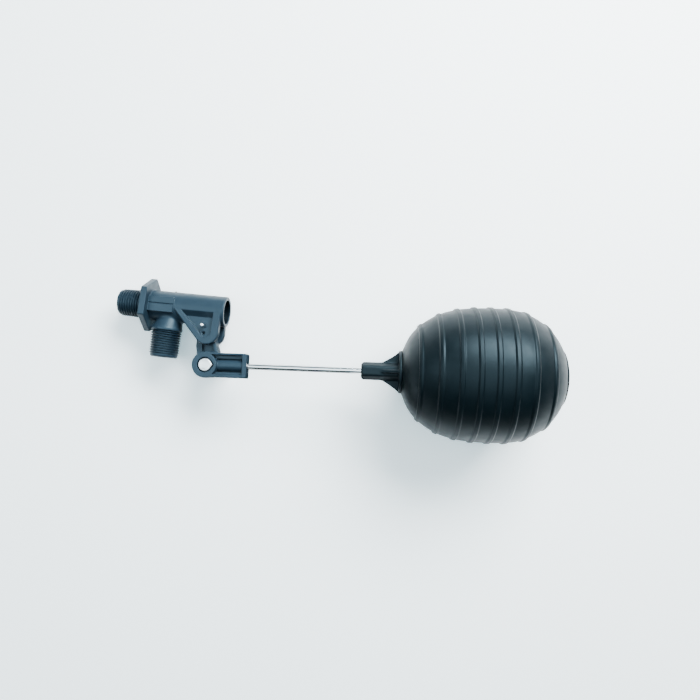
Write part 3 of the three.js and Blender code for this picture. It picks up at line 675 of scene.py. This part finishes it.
def build_stem():
    f = Field((-0.7, -17.4, -17.4), (38, 17.4, 17.4), 0.3)
    x, y, z = f.x, f.y, f.z
    flats = common(hexagon(y, z, 6.35, 0.3), np.hypot(y, z) - 6.9, 0.2)
    d = common(flats, np.maximum(-x, x - 30.6), 0.3)
    d = common(d, np.hypot(y, z) - (5.2 + x * 1.1), 0.2)
    reach = [(14.2, -1), (14.2, 5.8), (19.5, 8.8), (24.5, 12), (29.2, 15.6), (31, 16.2), (31, -1)]
    for across, thick in ((np.abs(y), z), (np.abs(z), y)):
        fins = outline_distance(x, across, reach)
        d = both(d, common(fins, np.abs(thick) - 1.1, 0.4), 1.0)
    d = both(d, rod_along(y, z, x, 16.4, 29, 31.1, 0.6), 0.9)
    d = both(d, rod_along(y, z, x, 6.2, 29, 36.1, 0.3))
    d = less(d, rod_along(y, z, x, 2.68, -10, 29.5, 0.0), 0.3)
    pts, faces = f.mesh(d)
    pts = pts + np.array((STEM_START, 0, ROD_Z))
    make_object("float_finned_stem", pts, faces, ARM, STEM_BLACK, "arm", "black_plastic", ["float_stem"])


build_body()
build_threads()
build_lever()
build_holder()
build_bolt()
build_wing_nut()
build_pin()
build_rod()
build_float()
build_end_cap()
build_stem()

# The inner and small pieces are the CAD's own, with a finish
CARRIED = {
    "seat_nozzle": PALE,
    "nozzle_o_ring": RUBBER,
    "plunger": DARK,
    "seal_disc": RUBBER,
    "plunger_o_ring": RUBBER,
    "pivot_pin_clip": PIN_STEEL,
    "flat_washer": BOLT_STEEL,
    "lock_washer": BOLT_STEEL,
    "holder_insert": BRASS,
    "stem_insert": BRASS,
}
for node, finish in CARRIED.items():
    obj = frame["nodes"][node]
    obj.data.materials.clear()
    obj.data.materials.append(finish)
    obj.data.shade_smooth()
    obj.data.set_sharp_from_angle(angle=math.radians(32))


# ---------------------------------------------------------------- floor, light, camera
FLOOR_REACH = 4.0
WALL_R = 3.6
WALL_TOP = 4.0
WALL_SIDES = 64


def matte(name, colour, roughness, specular, glow=(0, 0, 0), strength=0.0):
    material, _, shader, _ = new_material(name)
    shader.inputs["Base Color"].default_value = (*colour, 1)
    shader.inputs["Roughness"].default_value = roughness
    shader.inputs["Specular IOR Level"].default_value = specular
    if strength > 0:
        shader.inputs["Emission Color"].default_value = (*glow, 1)
        shader.inputs["Emission Strength"].default_value = strength
    return material


def stage_object(name, points, faces, material):
    mesh = bpy.data.meshes.new(name)
    mesh.from_pydata(points, [], faces)
    obj = bpy.data.objects.new(name, mesh)
    bpy.context.scene.collection.objects.link(obj)
    obj.data.materials.append(material)
    obj.visible_diffuse = False
    return obj


def sheet(x0, x1, y0, y1, z):
    return [(x0, y0, z), (x1, y0, z), (x1, y1, z), (x0, y1, z)]


paper = matte("paper_floor", (1.0, 0.94, 0.91), 0.95, 0.1, (0.5, 0.86, 1.0), 0.62)
stage_object("floor", sheet(-FLOOR_REACH, FLOOR_REACH, -FLOOR_REACH, FLOOR_REACH, 0), [(0, 1, 2, 3)], paper)

# A black card under the rod, seen only in reflections, darkens the lower edge of its bright steel
black = matte("card_black", (0.01, 0.01, 0.01), 1.0, 0.0)
card = stage_object("black_card", sheet(-0.088, 0.02, -0.3, 0.012, 0.001), [(0, 1, 2, 3)], black)
card.visible_camera = False
card.visible_shadow = False

# A pale wall far behind everything, seen only by the camera
paint = matte("pale_wall", (0.1, 0.1, 0.1), 1.0, 0.0, (0.9, 0.97, 1.0), 2.6)
turns = [2 * math.pi * k / WALL_SIDES for k in range(WALL_SIDES)]
wall_points = [(WALL_R * math.cos(a), WALL_R * math.sin(a), z) for z in (-0.05, WALL_TOP) for a in turns]
wall_faces = [
    (k, (k + 1) % WALL_SIDES, WALL_SIDES + (k + 1) % WALL_SIDES, WALL_SIDES + k) for k in range(WALL_SIDES)
]
backdrop = stage_object("backdrop", wall_points, wall_faces, paint)
backdrop.visible_glossy = False
backdrop.visible_shadow = False

SKY_ZENITH = 4.5
SKY_FRONT = 0.05
SKY_BACK = 0.5


def sky_fade(tree, value, start, end, lo, hi):
    fade = tree.nodes.new("ShaderNodeMapRange")
    fade.interpolation_type = "SMOOTHSTEP"
    fade.inputs["From Min"].default_value = start
    fade.inputs["From Max"].default_value = end
    fade.inputs["To Min"].default_value = lo
    fade.inputs["To Max"].default_value = hi
    tree.links.new(value, fade.inputs["Value"])
    return fade.outputs[0]


def studio_world():
    """A bright patch overhead in a room that is dark towards -Y and lighter towards +Y"""
    world = bpy.data.worlds.new("studio")
    world.use_nodes = True
    tree = world.node_tree
    sky = tree.nodes["Background"]
    coords = tree.nodes.new("ShaderNodeTexCoord")
    split = tree.nodes.new("ShaderNodeSeparateXYZ")
    tree.links.new(coords.outputs["Generated"], split.inputs[0])
    total = tree.nodes.new("ShaderNodeMath")
    total.operation = "ADD"
    overhead = sky_fade(tree, split.outputs["Z"], 0.86, 0.975, 0, SKY_ZENITH)
    sides = sky_fade(tree, split.outputs["Y"], -0.5, 0.7, SKY_FRONT, SKY_BACK)
    tree.links.new(overhead, total.inputs[0])
    tree.links.new(sides, total.inputs[1])
    tree.links.new(total.outputs[0], sky.inputs["Strength"])
    sky.inputs["Color"].default_value = (0.78, 0.93, 1.0, 1)
    bpy.context.scene.world = world


studio_world()


def area_light(name, place, size, power, colour):
    """A soft light that faces the part"""
    light = bpy.data.lights.new(name, "AREA")
    light.shape = "RECTANGLE"
    light.size, light.size_y = size
    light.energy = power
    light.color = colour
    obj = bpy.data.objects.new(name, light)
    bpy.context.scene.collection.objects.link(obj)
    obj.location = place
    obj.rotation_mode = "QUATERNION"
    obj.rotation_quaternion = (-Vector(place)).to_track_quat("-Z", "Y")


area_light("key", (0.36, 0.7, 0.72), (0.8, 0.5), 58, (0.84, 0.95, 1.0))
area_light("fill", (-0.7, 0.1, 0.75), (0.5, 0.5), 6, (0.78, 0.92, 1.0))

# Almost straight down, turned a little about its own axis
CAMERA_TURN = (-0.162, -1.415, 5.74)
CAMERA_PLACE = (-0.00014, 0.009, 0.50683)
camera = bpy.data.objects.new("camera", bpy.data.cameras.new("camera"))
bpy.context.scene.collection.objects.link(camera)
camera.data.sensor_width = 36
camera.data.lens = 30.64
camera.data.clip_start = 0.01
camera.rotation_euler = [math.radians(angle) for angle in CAMERA_TURN]
camera.location = CAMERA_PLACE
bpy.context.scene.camera = camera
